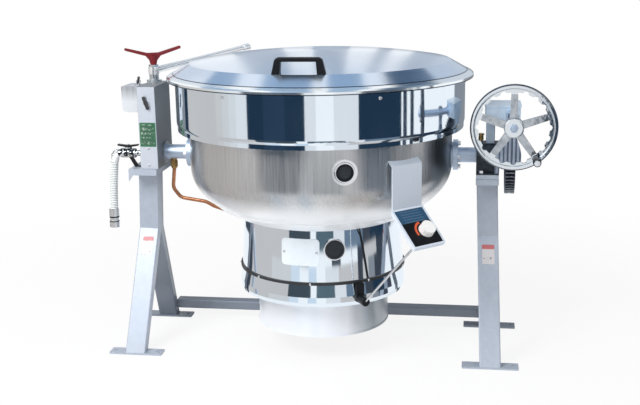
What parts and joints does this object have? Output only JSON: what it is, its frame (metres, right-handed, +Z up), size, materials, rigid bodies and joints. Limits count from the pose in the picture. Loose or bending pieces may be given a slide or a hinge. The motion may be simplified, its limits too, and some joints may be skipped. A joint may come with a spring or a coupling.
{
  "type": "steam jacketed kettle",
  "caption": "Gas heated tilting kettle with a steam jacket and hinged lid, hung on trunnions between splayed stands and tilted by a handwheel, worm and worm wheel.",
  "frame": {"origin": "on the floor below the middle of the bowl, on the vertical through the tilt axis", "axes": "+Z up, +X along the tilt axis towards the handwheel stand, -Y towards the operator"},
  "size_m": [1.4122, 0.98, 0.969],
  "materials": {
    "mirror_steel": "mirror polished stainless steel",
    "satin_steel": "brushed stainless steel",
    "bright_steel": "bright polished fittings",
    "grey_paint": "silver grey hammer paint",
    "gear_steel": "dark oiled machined steel",
    "cast_chrome": "polished casting",
    "black_plastic": "satin black moulding",
    "black_paint": "satin black",
    "red_paint": "gloss red",
    "white_plastic": "glossy white moulding",
    "panel_film": "printed plastic film",
    "dark_seal": "dark sealing strip",
    "burner_iron": "raw casting",
    "glass": "clear glass",
    "brass": "turned brass",
    "copper": "drawn copper tube",
    "hose": "ribbed white hose"
  },
  "bodies": {
    "stand": {"left_front_leg": "grey_paint", "left_rear_leg": "grey_paint", "right_front_leg": "grey_paint", "right_rear_leg": "grey_paint", "foot_plates": "grey_paint", "rear_beam": "grey_paint", "left_cap": "grey_paint", "right_cap": "grey_paint", "head_box": "grey_paint", "head_cover": "bright_steel", "left_bush": "grey_paint", "side_cover": "bright_steel", "tap_body": "bright_steel", "gas_cock": "brass", "gas_strap": "black_paint", "gas_hose": "hose", "hose_coupling": "bright_steel", "right_bearing": "grey_paint", "worm_housing": "grey_paint", "housing_cover": "grey_paint", "worm_pedestal": "grey_paint"},
    "kettle": {"inner_bowl": "satin_steel", "steam_jacket": "satin_steel", "rim_drum": "mirror_steel", "jacket_skirt": "satin_steel", "burner_casing": "mirror_steel", "seam_seal": "dark_seal", "base_belt": "mirror_steel", "base_skirt": "mirror_steel", "air_plate": "satin_steel", "burner_ring": "burner_iron", "hinge_brackets": "satin_steel", "hinge_pins": "bright_steel", "left_trunnion": "grey_paint", "right_trunnion": "grey_paint", "trunnion_bolts": "bright_steel", "worm_wheel": "gear_steel", "sight_frame": "satin_steel", "sight_glass": "glass", "peep_frame": "satin_steel", "peep_glass": "glass", "blank_plate": "satin_steel", "control_bracket": "satin_steel", "control_tray": "satin_steel", "control_face": "panel_film", "control_rod": "bright_steel", "burner_valve": "black_paint", "casing_conduit": "black_paint", "gas_union": "brass", "copper_pipe": "copper"},
    "lid": {"lid_shell": "satin_steel", "lid_handle": "black_plastic", "hinge_straps": "satin_steel"},
    "control_knob": {"control_knob": "white_plastic"},
    "spout": {"spout": "bright_steel"},
    "tap_handle": {"tap_handle": "red_paint"},
    "gas_lever": {"gas_lever": "black_plastic"},
    "handwheel": {"handwheel": "cast_chrome", "worm_shaft": "gear_steel"},
    "crank_grip": {"crank_grip": "cast_chrome"}
  },
  "joints": [
    {"name": "kettle_tilt", "type": "hinge", "parent": "stand", "child": "kettle", "pos_m": [0, 0, 0.627], "axis": [1, 0, 0], "range_deg": [0, 90]},
    {"name": "lid_hinge", "type": "hinge", "parent": "kettle", "child": "lid", "pos_m": [0, 0.492, 0.879], "axis": [-1, 0, 0], "range_deg": [0, 100]},
    {"name": "knob_turn", "type": "hinge", "parent": "kettle", "child": "control_knob", "pos_m": [0.35332, -0.35041, 0.47941], "axis": [0.4516, -0.4759, 0.7547], "range_deg": [-270, 0]},
    {"name": "spout_swivel", "type": "hinge", "parent": "stand", "child": "spout", "pos_m": [-0.555, 0.06, 0.883], "axis": [0, 0, 1], "range_deg": [0, 100]},
    {"name": "tap_turn", "type": "hinge", "parent": "stand", "child": "tap_handle", "pos_m": [-0.555, 0.06, 0.912], "axis": [0, 0, 1], "range_deg": [0, 90]},
    {"name": "gas_turn", "type": "hinge", "parent": "stand", "child": "gas_lever", "pos_m": [-0.622, -0.04, 0.65], "axis": [0, 0, 1], "range_deg": [0, 90]},
    {"name": "wheel_turn", "type": "hinge", "parent": "stand", "child": "handwheel", "pos_m": [0.59, -0.29, 0.762], "axis": [0, -1, 0], "range_deg": [0, 5040]},
    {"name": "grip_spin", "type": "hinge", "parent": "handwheel", "child": "crank_grip", "pos_m": [0.65348, -0.34, 0.67463], "axis": [0, 1, 0], "continuous": true}
  ],
  "couplings": [
    {"joint": "wheel_turn", "follows": "kettle_tilt", "ratio": 56}
  ]
}
